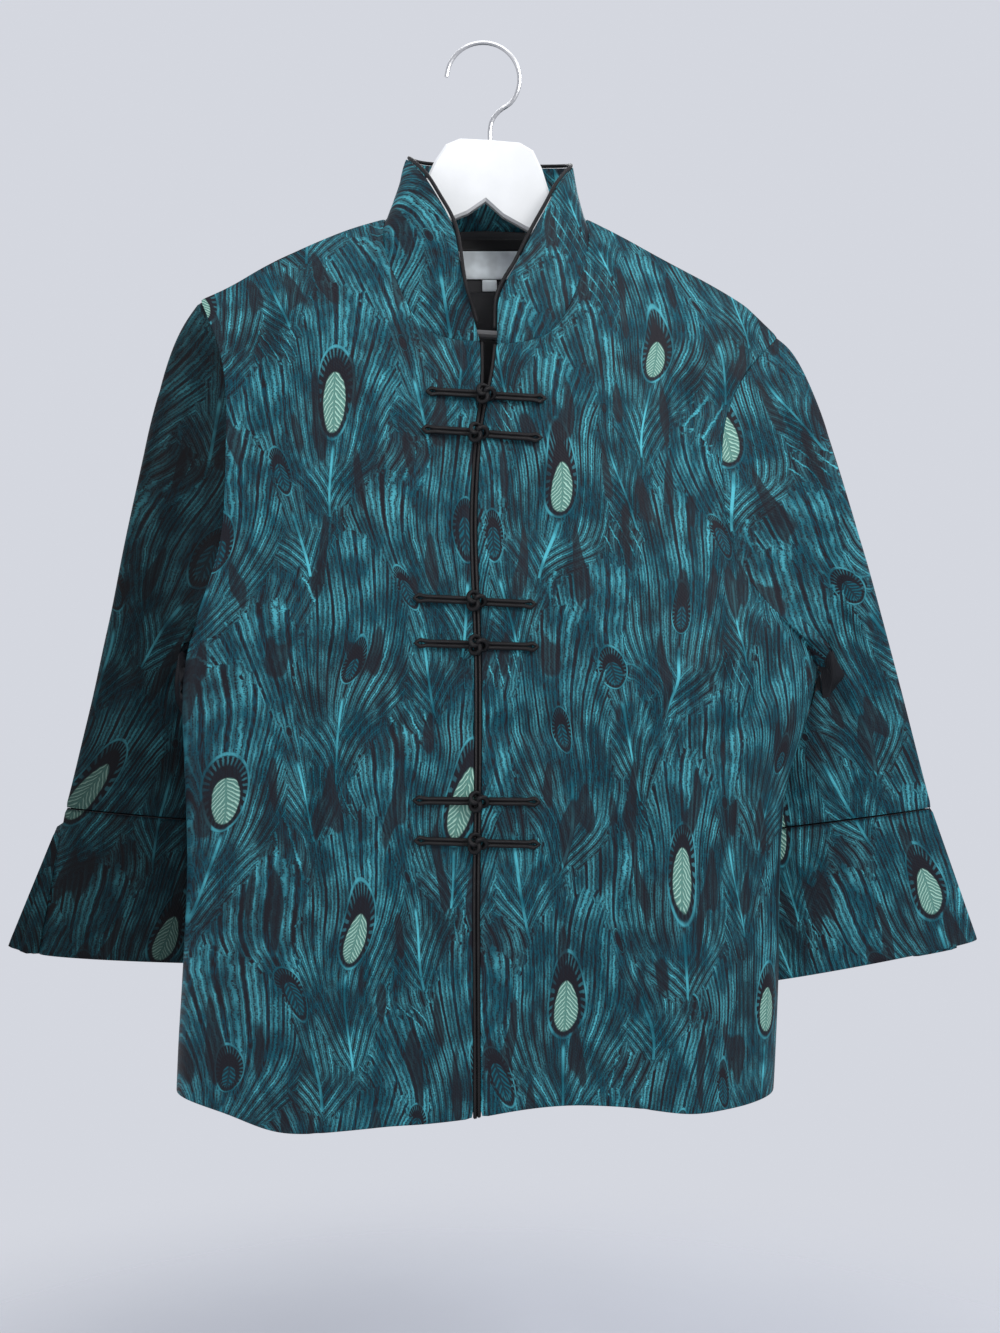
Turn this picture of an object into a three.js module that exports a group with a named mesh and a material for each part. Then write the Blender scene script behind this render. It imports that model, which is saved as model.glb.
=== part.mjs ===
// A tang jacket of peacock brocade on a flat white hanger. Millimetres, +Z up, the front faces -Y.
// The origin is the inside top of the hanger's hook, where it hangs.
import * as THREE from 'three';

// ---- driving dimensions ----
const WALL = 2.0;             // cloth with its lining
const GAP = 0.3;              // between pieces at a seam
const SEAM = GAP / 2;         // each side of a seam plane
const GARMENT_X = 4;          // the garment hangs this far right of the hook's bearing point
const TILT = 4.0 * Math.PI / 180;   // the hanger's right arm hangs lower
const NEAR_SEAM = 0.5;        // points this near the seam plane lie on it
const SECTION_POWER = 2.6;    // squareness of the body's section
const CENTRE_X = -5;          // middle of the body's section
const SHOULDER_PAD = 10;      // cloth over the hanger's thickness
const PAD_RISE = 6;
const CHEST_RISE = 110;
const BACK_RISE = 14;
const BACK_DEPTH = 30;
const NECK_RAISE = 42;        // the back of the neck stands above the shoulder line
const NECK_HALF = 83;
const PIPING = 2.4;           // cord along the front edges and the collar
const CORD = 2.4;             // frog cord
const KNOT = 13;              // frog button
const ARMHOLE_GAP = 0.8;      // at the curved armhole seam
const UNDERARM_EASE = 3;      // the sleeve's lowest point stands off the side seam
const COLLAR_GAP = 0.8;       // the stand's edge curves away from the neckline
const SLEEVE_AROUND = 10;     // armhole divisions on the front, and as many on the back
const SIDE_ROWS = 8;          // panel rows from hem to underarm
const FRONT_COLUMNS = 14;
const SHOULDER_COLUMNS = 6;   // of those, the ones that end on the shoulder seam

// ---- tables ----
// side: where the body's section turns from front to back; arm: the armhole seam; by height
const LEFT_SIDE = [
  { z: -845, side: -249, arm: -249 }, { z: -740, side: -244, arm: -244 },
  { z: -650, side: -240, arm: -240 }, { z: -590, side: -242, arm: -242 },
  { z: -524, side: -245, arm: -245 }, { z: -500, side: -244, arm: -244 },
  { z: -446, side: -234, arm: -223 }, { z: -415, side: -228, arm: -211 },
  { z: -373, side: -223, arm: -205 }, { z: -300, side: -224, arm: -204 },
  { z: -251, side: -230, arm: -208 }, { z: -204, side: -244, arm: -230 },
];
const RIGHT_SIDE = [
  { z: -845, side: 228, arm: 228 }, { z: -760, side: 232, arm: 232 },
  { z: -640, side: 234, arm: 234 }, { z: -600, side: 236, arm: 236 },
  { z: -550, side: 252, arm: 252 }, { z: -520, side: 263, arm: 263 },
  { z: -500, side: 265, arm: 265 }, { z: -484, side: 263, arm: 258 },
  { z: -449, side: 236, arm: 217 }, { z: -410, side: 214, arm: 192 },
  { z: -352, side: 204, arm: 182 }, { z: -312, side: 206, arm: 183 },
  { z: -265, side: 228, arm: 203 }, { z: -234, side: 246, arm: 232 },
];
const UNDERARM_Z = -500;
// centre front: where the two piped edges meet; they part above the neck's V
const CENTRE_FRONT = [
  { z: -845, x: -7.6, open: 0 }, { z: -660, x: -8.3, open: 0 },
  { z: -590, x: -6.9, open: 0 }, { z: -500, x: -6.9, open: 0 },
  { z: -440, x: -9, open: 0 }, { z: -390, x: -10.6, open: 0 },
  { z: -335, x: -8.4, open: 0 }, { z: -300, x: -4.5, open: 0 },
  { z: -283, x: -0.3, open: 0.5 }, { z: -247, x: 0.6, open: 6.5 },
];
const CHEST_DEPTH = [
  { z: -845, depth: 82 }, { z: -600, depth: 80 }, { z: -450, depth: 77 },
  { z: -320, depth: 72 }, { z: -247, depth: 70 }, { z: -140, depth: 70 },
];
const HEM = [
  { x: -249, z: -833 }, { x: -198, z: -840 }, { x: -148, z: -848 }, { x: -100, z: -846 },
  { x: -60, z: -842 }, { x: -8, z: -835 }, { x: 40, z: -828 }, { x: 85, z: -827 },
  { x: 130, z: -831 }, { x: 153, z: -835 }, { x: 195, z: -836 }, { x: 229, z: -832 },
];
const SHOULDER = [
  { x: -231, z: -204 }, { x: -178, z: -176 }, { x: -125, z: -153 }, { x: -83, z: -139 },
  { x: 0, z: -136 }, { x: 79, z: -139 }, { x: 113, z: -157 }, { x: 158, z: -181 },
  { x: 214, z: -214 }, { x: 232, z: -234 },
];
const NECKLINE_LEFT = [
  { x: -83, z: -139 }, { x: -83.5, z: -158 }, { x: -78, z: -180 }, { x: -69, z: -201 },
  { x: -58, z: -226 }, { x: -46, z: -240 }, { x: -28, z: -245.5 }, { x: -5.9, z: -247 },
];
const NECKLINE_RIGHT = [
  { x: 79, z: -139 }, { x: 80.5, z: -158 }, { x: 77, z: -181 }, { x: 69, z: -203 },
  { x: 59, z: -228 }, { x: 47, z: -242 }, { x: 29, z: -248 }, { x: 7.1, z: -249 },
];
// folds that stand out of the front (height > 0) or sink in; x at the hem, lean towards the top
const FRONT_FOLDS = [
  { x: -150, lean: 0.10, height: 9, width: 30, top: -430 },
  { x: -205, lean: 0.02, height: -6, width: 20, top: -520 },
  { x: -90, lean: 0.06, height: -5, width: 26, top: -520 },
  { x: 52, lean: -0.02, height: -5, width: 26, top: -560 },
  { x: 150, lean: -0.08, height: 8, width: 28, top: -450 },
  { x: 200, lean: 0.02, height: -6, width: 18, top: -560 },
];
const BACK_FOLDS = [
  { x: -140, lean: 0.12, height: 7, width: 34, top: -400 },
  { x: -20, lean: 0, height: 5, width: 30, top: -500 },
  { x: 130, lean: -0.10, height: 7, width: 34, top: -420 },
];
// sleeves: outer and inner edge by fraction of the length; depth is half the thickness
const SLEEVE_LEFT = [
  { f: 0, ox: -230, oy: 0, oz: -204, ix: -244, iy: 6, iz: -500, depth: 30 },
  { f: 0.1, ox: -249, oy: 1, oz: -229, ix: -253, iy: 13, iz: -514, depth: 27 },
  { f: 0.25, ox: -270, oy: 4, oz: -296, ix: -250, iy: 26, iz: -543, depth: 23 },
  { f: 0.45, ox: -293, oy: 12, oz: -390, ix: -234, iy: 43, iz: -574, depth: 19 },
  { f: 0.7, ox: -319, oy: 24, oz: -508, ix: -216, iy: 50, iz: -602, depth: 15 },
  { f: 1, ox: -347, oy: 33, oz: -613, ix: -198, iy: 52, iz: -628, depth: 12 },
];
const SLEEVE_RIGHT = [
  { f: 0, ox: 232, oy: 0, oz: -234, ix: 265, iy: 6, iz: -500, depth: 30 },
  { f: 0.1, ox: 247, oy: 1, oz: -246, ix: 286, iy: 14, iz: -505, depth: 27 },
  { f: 0.25, ox: 270, oy: 3, oz: -300, ix: 284, iy: 29, iz: -532, depth: 23 },
  { f: 0.45, ox: 298, oy: 11, oz: -384, ix: 252, iy: 45, iz: -574, depth: 19 },
  { f: 0.7, ox: 330, oy: 22, oz: -492, ix: 229, iy: 50, iz: -608, depth: 15 },
  { f: 1, ox: 364, oy: 33, oz: -613, ix: 200, iy: 52, iz: -636, depth: 12 },
];
const CUFF_LEFT = [
  { f: 0, ox: -347, oy: 33, oz: -613, ix: -198, iy: 52, iz: -628, depth: 13 },
  { f: 1, ox: -371, oy: 38, oz: -734, ix: -196, iy: 54, iz: -744, depth: 17 },
];
const CUFF_RIGHT = [
  { f: 0, ox: 364, oy: 33, oz: -613, ix: 200, iy: 52, iz: -636, depth: 13 },
  { f: 1, ox: 403, oy: 37, oz: -722, ix: 212, iy: 54, iz: -762, depth: 17 },
];
const SLEEVE_RINGS = 8;
const CUFF_RINGS = 3;
// a fan of flat pleats at each cuff: the apex is at the cuff seam; foot from and to, in x and z
const CUFF_PLEATS = [
  { name: 'cuff_left_pleat_1', apex: [-350, 33, -616], from: [-387, 36, -731], to: [-373.5, 37, -736] },
  { name: 'cuff_left_pleat_2', apex: [-350.5, 38, -616], from: [-398, 43, -729], to: [-374, 43, -736] },
  { name: 'cuff_right_pleat_1', apex: [352, 46, -617], from: [391, 51, -732], to: [356, 60, -741] },
  { name: 'cuff_right_pleat_2', apex: [351, 50.5, -617], from: [383, 57, -734], to: [348, 66, -742] },
];
// the collar stand: its seam edge follows the neckline; here is its free edge, front to back
const COLLAR_LEFT = [
  { f: 0, x: -17, y: -51, z: -208 }, { f: 0.12, x: -21, y: -49, z: -192 },
  { f: 0.27, x: -23, y: -46, z: -176 }, { f: 0.43, x: -26, y: -42, z: -158 },
  { f: 0.6, x: -37, y: -34, z: -135 }, { f: 0.8, x: -52, y: -20, z: -108 },
  { f: 1, x: -66, y: 4, z: -90 },
];
const COLLAR_RIGHT = [
  { f: 0, x: 8, y: -51, z: -216 }, { f: 0.12, x: 13, y: -50, z: -203 },
  { f: 0.27, x: 24, y: -46, z: -184 }, { f: 0.43, x: 34, y: -40, z: -162 },
  { f: 0.6, x: 46, y: -32, z: -139 }, { f: 0.8, x: 57, y: -20, z: -116 },
  { f: 1, x: 69, y: 3, z: -97 },
];
const COLLAR_BACK = [
  { f: 0, x: -66, y: 4, z: -90 }, { f: 0.2, x: -60, y: 27, z: -87 },
  { f: 0.5, x: 0, y: 40, z: -87 }, { f: 0.8, x: 62, y: 26, z: -91 },
  { f: 1, x: 69, y: 3, z: -97 },
];
// frogs: height, and the far end of each arm
const FROGS = [
  { z: -290, left: -46, right: 44, drop: -6 }, { z: -320, left: -49, right: 41, drop: -7 },
  { z: -448, left: -55, right: 36, drop: -5 }, { z: -481, left: -54, right: 38, drop: -3 },
  { z: -598, left: -55, right: 39, drop: -1 }, { z: -629, left: -54, right: 39, drop: -3 },
];

// ---- small tools ----
function cubic(table, key, at, column) {
  // smooth interpolation of a table's column, never overshooting between rows
  const last = table.length - 1;
  if (at <= table[0][key]) return table[0][column];
  if (at >= table[last][key]) return table[last][column];
  let i = 0;
  while (at > table[i + 1][key]) i += 1;
  const slope = (k) => {
    if (k === 0 || k === last) return 0;
    const before = (table[k][column] - table[k - 1][column]) / (table[k][key] - table[k - 1][key]);
    const after = (table[k + 1][column] - table[k][column]) / (table[k + 1][key] - table[k][key]);
    return before * after <= 0 ? 0 : 2 * before * after / (before + after);
  };
  const span = table[i + 1][key] - table[i][key];
  const t = (at - table[i][key]) / span;
  const h = 3 * t * t - 2 * t * t * t;
  return table[i][column] * (1 - h) + table[i + 1][column] * h
    + span * ((t - 2 * t * t + t * t * t) * slope(i) + (t * t * t - t * t) * slope(i + 1));
}
const mix = (a, b, t) => a + (b - a) * t;
const clamp = (v, low, high) => Math.min(high, Math.max(low, v));
const ease = (t) => { const c = clamp(t, 0, 1); return c * c * (3 - 2 * c); };
const sub = (a, b) => [a[0] - b[0], a[1] - b[1], a[2] - b[2]];
const add = (a, b, k = 1) => [a[0] + b[0] * k, a[1] + b[1] * k, a[2] + b[2] * k];
const cross = (a, b) => [a[1] * b[2] - a[2] * b[1], a[2] * b[0] - a[0] * b[2], a[0] * b[1] - a[1] * b[0]];
const unit = (a) => { const l = Math.hypot(...a) || 1; return [a[0] / l, a[1] / l, a[2] / l]; };

function closedMesh(points, triangles) {
  let volume = 0;
  for (const [a, b, c] of triangles) {
    const n = cross(points[b], points[c]);
    volume += points[a][0] * n[0] + points[a][1] * n[1] + points[a][2] * n[2];
  }
  const geometry = new THREE.BufferGeometry();
  geometry.setAttribute('position', new THREE.Float32BufferAttribute(points.flat(), 3));
  geometry.setIndex(triangles.map(([a, b, c]) => (volume < 0 ? [a, c, b] : [a, b, c])).flat());
  geometry.computeVertexNormals();
  return geometry;
}

// a wall between two grids of points; with ring set, the last column joins the first
function wall(outer, inner, ring = false) {
  const rows = outer.length;
  const columns = outer[0].length;
  const points = [...outer.flat(), ...inner.flat()];
  const at = (layer, i, j) => layer * rows * columns + i * columns + (j % columns);
  const triangles = [];
  const quad = (a, b, c, d) => triangles.push([a, b, c], [a, c, d]);
  const across = ring ? columns : columns - 1;
  for (let i = 0; i < rows - 1; i += 1) {
    for (let j = 0; j < across; j += 1) {
      quad(at(0, i, j), at(0, i, j + 1), at(0, i + 1, j + 1), at(0, i + 1, j));
      quad(at(1, i, j), at(1, i + 1, j), at(1, i + 1, j + 1), at(1, i, j + 1));
    }
  }
  for (let j = 0; j < across; j += 1) {
    quad(at(0, 0, j), at(1, 0, j), at(1, 0, j + 1), at(0, 0, j + 1));
    quad(at(0, rows - 1, j), at(0, rows - 1, j + 1), at(1, rows - 1, j + 1), at(1, rows - 1, j));
  }
  if (!ring) {
    for (let i = 0; i < rows - 1; i += 1) {
      const e = columns - 1;
      quad(at(0, i, 0), at(0, i + 1, 0), at(1, i + 1, 0), at(1, i, 0));
      quad(at(0, i, e), at(1, i, e), at(1, i + 1, e), at(0, i + 1, e));
    }
  }
  return closedMesh(points, triangles);
}

// each point's unit normal, turned to the side that the given inside point is not on
function normals(grid, insideOf, ring = false) {
  const rows = grid.length;
  const columns = grid[0].length;
  return grid.map((row, i) => row.map((p, j) => {
    const up = sub(grid[Math.min(i + 1, rows - 1)][j], grid[Math.max(i - 1, 0)][j]);
    const next = ring ? (j + 1) % columns : Math.min(j + 1, columns - 1);
    const before = ring ? (j + columns - 1) % columns : Math.max(j - 1, 0);
    const n = unit(cross(sub(row[next], row[before]), up));
    const away = sub(p, insideOf(p, i));
    const facing = n[0] * away[0] + n[1] * away[1] + n[2] * away[2];
    return facing < 0 ? [-n[0], -n[1], -n[2]] : n;
  }));
}

// ---- the body ----
function foldOffset(table, x, z) {
  let offset = 0;
  for (const fold of table) {
    const along = x - (fold.x + fold.lean * (z + 840));
    const rise = ease((fold.top - z) / 260);
    offset += fold.height * rise * Math.exp(-((along / fold.width) ** 2));
  }
  return offset;
}

function bodyDepth(x, z, face) {
  const sides = x < CENTRE_X ? LEFT_SIDE : RIGHT_SIDE;
  const reach = cubic(sides, 'z', z, 'side') - CENTRE_X;
  const share = clamp((x - CENTRE_X) / reach, 0, 1);
  const section = (1 - share ** SECTION_POWER) ** (1 / SECTION_POWER);
  const below = Math.max(0, cubic(SHOULDER, 'x', x, 'z') - z);
  const sideSeam = 6 * ease((-z - 230) / 270);
  const padFade = 1 - ease((-z - 330) / 170) * (1 - section);
  if (face === 'front') {
    const pad = SHOULDER_PAD * (1 - Math.exp(-below / PAD_RISE)) * padFade;
    const chest = cubic(CHEST_DEPTH, 'z', z, 'depth') * 0.87 * (1 - Math.exp(-below / CHEST_RISE));
    const fold = foldOffset(FRONT_FOLDS, x, z) * section;
    return sideSeam * (1 - section) - pad - section * chest - fold;
  }
  const raised = below + NECK_RAISE * ease((NECK_HALF - Math.abs(x + 2)) / 36);
  const pad = SHOULDER_PAD * (1 - Math.exp(-raised / PAD_RISE)) * padFade;
  const back = (BACK_DEPTH - 6) * (1 - Math.exp(-raised / BACK_RISE)) * section;
  return sideSeam * (1 - section) + pad + back + foldOffset(BACK_FOLDS, x, z) * section;
}

// points along a polyline at equal shares of its length
function resample(line, count) {
  const lengths = [0];
  for (let i = 1; i < line.length; i += 1) {
    lengths.push(lengths[i - 1] + Math.hypot(line[i].x - line[i - 1].x, line[i].z - line[i - 1].z));
  }
  const rows = line.map((p, i) => ({ s: lengths[i] / lengths[line.length - 1], x: p.x, z: p.z }));
  return Array.from({ length: count + 1 }, (_, k) => {
    const s = k / count;
    return { x: cubic(rows, 's', s, 'x'), z: cubic(rows, 's', s, 'z') };
  });
}

// the top edge of one half of the body, from the shoulder point to the middle
function topEdge(side, neckline) {
  const shoulderX = side < 0 ? -230 : 232;
  const seam = Array.from({ length: SHOULDER_COLUMNS + 1 }, (_, k) => {
    const x = mix(shoulderX, neckline[0].x, k / SHOULDER_COLUMNS);
    return { x, z: cubic(SHOULDER, 'x', x, 'z') };
  });
  const neck = resample(neckline, FRONT_COLUMNS - SHOULDER_COLUMNS);
  return [...seam.slice(0, -1), ...neck];
}

const BACK_NECKLINE_LEFT = [
  { x: -83, z: -139 }, { x: -76, z: -143 }, { x: -58, z: -143 }, { x: -30, z: -141 },
  { x: -2, z: -140 },
];
const BACK_NECKLINE_RIGHT = [
  { x: 79, z: -139 }, { x: 73, z: -143 }, { x: 55, z: -143 }, { x: 28, z: -141 },
  { x: -2, z: -140 },
];

// one half of a body face: rows from the hem up, columns from the side to the middle
function halfGrid(side, face) {
  const sides = side < 0 ? LEFT_SIDE : RIGHT_SIDE;
  const front = face === 'front';
  const left = front ? NECKLINE_LEFT : BACK_NECKLINE_LEFT;
  const right = front ? NECKLINE_RIGHT : BACK_NECKLINE_RIGHT;
  const neckline = side < 0 ? left : right;
  const top = topEdge(side, neckline);
  const armTop = top[0].z;
  const rows = SIDE_ROWS + SLEEVE_AROUND;
  const middle = (z) => {
    if (!front) return -2;
    const open = cubic(CENTRE_FRONT, 'z', z, 'open');
    return cubic(CENTRE_FRONT, 'z', z, 'x') + side * (open + PIPING + 2 * GAP);
  };
  return Array.from({ length: rows + 1 }, (_, i) => top.map((corner, j) => {
    const share = 1 - Math.cos(Math.PI / 2 * j / FRONT_COLUMNS) ** (2 / SECTION_POWER);
    const above = Math.max(0, (i - SIDE_ROWS) / SLEEVE_AROUND);
    const hemX = mix(cubic(sides, 'z', -835, 'side'), middle(-835), share);
    const hemZ = cubic(HEM, 'x', hemX, 'z');
    const z = i <= SIDE_ROWS ? mix(hemZ, UNDERARM_Z, i / SIDE_ROWS) : mix(UNDERARM_Z, corner.z, above);
    const edge = cubic(sides, 'z', Math.min(z, armTop), 'arm');
    const inner = middle(Math.min(z, neckline[neckline.length - 1].z));
    const topShare = (corner.x - top[0].x) / (top[top.length - 1].x - top[0].x);
    const x = i === rows ? corner.x : mix(edge, inner, mix(share, topShare, ease(above)));
    return [x, bodyDepth(x, z, face) + (front ? -SEAM : SEAM), z];
  }));
}

// the wall's inner grid; it never crosses the seam plane between front and back
function panelInner(grid, face) {
  const sign = face === 'front' ? 1 : -1;
  const facing = normals(grid, (p) => [clamp(p[0], -180, 180), sign * 400, Math.min(p[2], -400)]);
  return grid.map((row, i) => row.map((p, j) => {
    const n = facing[i][j];
    const inward = p[0] < 0 ? Math.max(0, -n[0]) : Math.min(0, -n[0]);
    const q = add(p, unit([inward, -n[1], Math.min(0, -n[2])]), WALL);
    const seamY = 6 * ease((-p[2] - 230) / 270);
    const limit = Math.abs(p[1] - seamY) < NEAR_SEAM ? 0 : SEAM;
    q[1] = face === 'front' ? Math.min(q[1], Math.max(p[1], seamY - SEAM - limit))
      : Math.max(q[1], Math.min(p[1], seamY + SEAM + limit));
    return q;
  }));
}

const grids = {
  left: halfGrid(-1, 'front'),
  right: halfGrid(1, 'front'),
  backLeft: halfGrid(-1, 'back'),
  backRight: halfGrid(1, 'back'),
};
grids.back = grids.backLeft.map((row, i) => [...row, ...grids.backRight[i].slice(0, -1).reverse()]);

// ---- sleeves and cuffs ----
// an oval ring: the outer edge first, then the front, the inner edge and the back
function ovalRing(table, f) {
  const get = (column) => cubic(table, 'f', f, column);
  const count = 2 * SLEEVE_AROUND;
  return Array.from({ length: count }, (_, k) => {
    const angle = 2 * Math.PI * k / count;
    const across = (1 - Math.cos(angle)) / 2;
    const depth = get('depth') * Math.sin(angle);
    return [mix(get('ox'), get('ix'), across), mix(get('oy'), get('iy'), across) - depth,
      mix(get('oz'), get('iz'), across)];
  });
}

function armholeLoop(front, back, side) {
  const rows = front.length - 1;
  const shift = side * ARMHOLE_GAP;
  const frontEdge = front.map((row) => row[0]);
  const backEdge = back.map((row) => row[0]);
  const place = (p, q, out) => [(p[0] + q[0]) / 2 + shift + out, (p[1] + q[1]) / 2, (p[2] + q[2]) / 2];
  const loop = [];
  for (let k = 0; k < SLEEVE_AROUND; k += 1) {
    const i = rows - k;
    loop.push(k === 0 ? place(frontEdge[i], backEdge[i], 0) : add(frontEdge[i], [shift, 0, 0]));
  }
  for (let k = 0; k < SLEEVE_AROUND; k += 1) {
    const i = SIDE_ROWS + k;
    loop.push(k === 0 ? place(frontEdge[i], backEdge[i], side * UNDERARM_EASE) : add(backEdge[i], [shift, 0, 0]));
  }
  return loop;
}

function sleeveGrid(table, loop) {
  const start = ovalRing(table, 0);
  return Array.from({ length: SLEEVE_RINGS + 1 }, (_, i) => {
    const f = (i / SLEEVE_RINGS) ** 1.15;
    const hold = Math.max(0, 1 - ease(f / 0.42)) ** 1.5;
    return ovalRing(table, f).map((p, k) => add(p, sub(loop[k], start[k]), hold));
  });
}

// the normal of the plane that a closed ring lies in
function ringPlane(ring) {
  return unit(ring.reduce((sum, p, k) => add(sum, cross(p, ring[(k + 1) % ring.length])), [0, 0, 0]));
}

// the inner side of each ring stays in the ring's own plane; an armhole's plane faces sideways
function ringWall(grid, startPlane) {
  const centre = grid.map((ring) => ring.reduce((sum, p) => add(sum, p, 1 / ring.length), [0, 0, 0]));
  const inner = grid.map((ring, i) => {
    const plane = i === 0 && startPlane ? startPlane : ringPlane(ring);
    const count = ring.length;
    return ring.map((p, k) => {
      const along = sub(ring[(k + 1) % count], ring[(k + count - 1) % count]);
      const n = unit(cross(along, plane));
      const away = sub(p, centre[i]);
      const facing = n[0] * away[0] + n[1] * away[1] + n[2] * away[2];
      return add(p, n, facing < 0 ? WALL : -WALL);
    });
  });
  return wall(grid, inner, true);
}

function cuffGrid(table, above) {
  const start = ovalRing(table, 0);
  return Array.from({ length: CUFF_RINGS + 1 }, (_, i) => {
    const f = i / CUFF_RINGS;
    return ovalRing(table, f).map((p, k) => {
      const down = add(p, sub(above[k], start[k]), 1 - f);
      return [down[0], down[1], down[2] - GAP * (1 - f)];
    });
  });
}

function pleat({ apex, from, to }) {
  const steps = 4;
  const grid = Array.from({ length: steps + 1 }, (_, i) => {
    const f = mix(0.06, 1, i / steps);
    const a = apex.map((v, k) => mix(v, from[k], f));
    const b = apex.map((v, k) => mix(v, to[k], f));
    return [0, 0.5, 1].map((s) => add(a.map((v, k) => mix(v, b[k], s)), [0, -1.5 * Math.sin(Math.PI * s) * f, 0]));
  });
  return wall(grid, grid.map((row) => row.map((p) => add(p, [0, WALL, 0]))));
}

// ---- collar ----
function collarGrid() {
  const rows = 3;
  const last = grids.left.length - 1;
  const neck = (grid) => grid[last].slice(SHOULDER_COLUMNS);
  const front = (grid, free) => neck(grid).reverse().map((p, k, all) => ({ p, f: k / (all.length - 1), free }));
  const left = front(grids.left, COLLAR_LEFT);
  const right = front(grids.right, COLLAR_RIGHT).reverse();
  const backPoints = grids.back[last].slice(SHOULDER_COLUMNS, grids.back[last].length - SHOULDER_COLUMNS);
  const back = backPoints.map((p, k, all) => ({ p, f: k / (all.length - 1), free: COLLAR_BACK }));
  const stations = [...left.slice(0, -1), ...back, ...right.slice(1)];
  const joined = stations.map(({ p, f, free }, k) => {
    const seam = k === left.length - 1 || k === left.length - 2 + back.length;
    const bottom = seam ? [p[0], 0, p[2]] : p;
    const top = [cubic(free, 'f', f, 'x'), cubic(free, 'f', f, 'y'), cubic(free, 'f', f, 'z')];
    return { bottom: add(bottom, unit(sub(top, bottom)), COLLAR_GAP), top };
  });
  return Array.from({ length: rows + 1 }, (_, i) => joined.map(({ bottom, top }) => {
    const t = i / rows;
    return bottom.map((v, k) => mix(v, top[k], t));
  }));
}

function collarInner(grid) {
  const facing = normals(grid, (p) => [clamp(p[0] * 0.2, -10, 10), clamp(p[1], -10, 5), p[2]]);
  return grid.map((row, i) => row.map((p, j) => {
    const n = facing[i][j];
    const up = unit(sub(grid[grid.length - 1][j], grid[0][j]));
    const along = n[0] * up[0] + n[1] * up[1] + n[2] * up[2];
    return add(p, unit(add(n, up, -along)), -WALL);
  }));
}

// ---- cords ----
class LinePath extends THREE.Curve {
  constructor(points) {
    super();
    this.curve = new THREE.CatmullRomCurve3(points.map((p) => new THREE.Vector3(...p)), false, 'centripetal');
  }

  getPoint(t, target = new THREE.Vector3()) {
    return this.curve.getPoint(t, target);
  }
}

function tube(points, diameter, steps, sides) {
  const shape = new THREE.Shape();
  for (let k = 0; k < sides; k += 1) {
    const angle = 2 * Math.PI * k / sides;
    const x = diameter / 2 * Math.cos(angle);
    const y = diameter / 2 * Math.sin(angle);
    if (k === 0) shape.moveTo(x, y);
    else shape.lineTo(x, y);
  }
  shape.closePath();
  return new THREE.ExtrudeGeometry(shape, { steps, extrudePath: new LinePath(points), curveSegments: 1 });
}

function frontSurface(x, z) {
  return bodyDepth(x, z, 'front') - SEAM;
}

// a hairpin of cord lying on the front, its bend at the far end
function frogArm(frog, side) {
  const middle = cubic(CENTRE_FRONT, 'z', frog.z, 'x');
  const end = side < 0 ? frog.left : frog.right;
  const start = middle + side * (KNOT / 2 + CORD);
  const half = CORD / 2 + 0.35;
  const flare = 1.2;
  const sink = (x) => frog.z + (x - frog.left) / (frog.right - frog.left) * frog.drop - frog.drop / 2;
  const at = (x, dz) => [x, frontSurface(x, sink(x) + dz) - CORD / 2 - 1.0, sink(x) + dz];
  const out = [0, 0.3, 0.6, 0.85].map((t) => at(mix(start, end, t), half));
  const far = [at(end - side * 3, half + flare), at(end, 0), at(end - side * 3, -half - flare)];
  const home = [0.85, 0.6, 0.3, 0].map((t) => at(mix(start, end, t), -half));
  return tube([...out, ...far, ...home], CORD, 18, 6);
}

function frogKnot(frog) {
  const middle = cubic(CENTRE_FRONT, 'z', frog.z, 'x');
  const knot = new THREE.IcosahedronGeometry(KNOT / 2, 1);
  knot.scale(1, 0.8, 0.9);
  knot.translate(middle, frontSurface(middle, frog.z) - KNOT * 0.4 - PIPING / 2 - 0.8, frog.z);
  return knot;
}

// the cord along one front edge, from the hem up to the neck
function edgePiping(side) {
  const grid = side < 0 ? grids.left : grids.right;
  const edge = grid.map((row) => row[row.length - 1]);
  const line = edge.map((p) => [p[0] - side * (PIPING / 2 + GAP), p[1] + PIPING / 2, p[2]]);
  line[line.length - 1][2] -= 1;
  return tube(line, PIPING, 24, 6);
}

// the cord along the collar: up one front end, round the free edge, and down the other
function collarPiping(outer, inner) {
  const lift = PIPING / 2 + 0.9;
  const top = outer.length - 1;
  const end = outer[0].length - 1;
  const middle = (i, j) => add(outer[i][j], sub(inner[i][j], outer[i][j]), 0.5);
  const edge = [];
  for (let i = 1; i < top; i += 1) edge.push({ at: middle(i, 0), within: middle(i, 1) });
  for (let j = 0; j <= end; j += 1) edge.push({ at: middle(top, j), within: middle(top - 1, j) });
  for (let i = top - 1; i > 0; i -= 1) edge.push({ at: middle(i, end), within: middle(i, end - 1) });
  const line = edge.map(({ at, within }, k) => {
    const before = edge[Math.max(k - 1, 0)].at;
    const after = edge[Math.min(k + 1, edge.length - 1)].at;
    const along = unit(sub(after, before));
    const away = sub(at, within);
    const share = away[0] * along[0] + away[1] * along[1] + away[2] * along[2];
    return add(at, unit(add(away, along, -share)), lift);
  });
  return tube(line, PIPING, 64, 6);
}

// ---- what lies on the inside of the back ----
function insidePatch({ left, right, top, bottom, proud, thick, columns, rows }) {
  const grid = (depth) => Array.from({ length: rows + 1 }, (_, i) => Array.from({ length: columns + 1 }, (__, j) => {
    const x = mix(left, right, j / columns);
    const z = mix(top, bottom, i / rows);
    return [x, bodyDepth(x, z, 'back') - WALL - proud - depth, z];
  }));
  return wall(grid(0), grid(thick));
}

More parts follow.
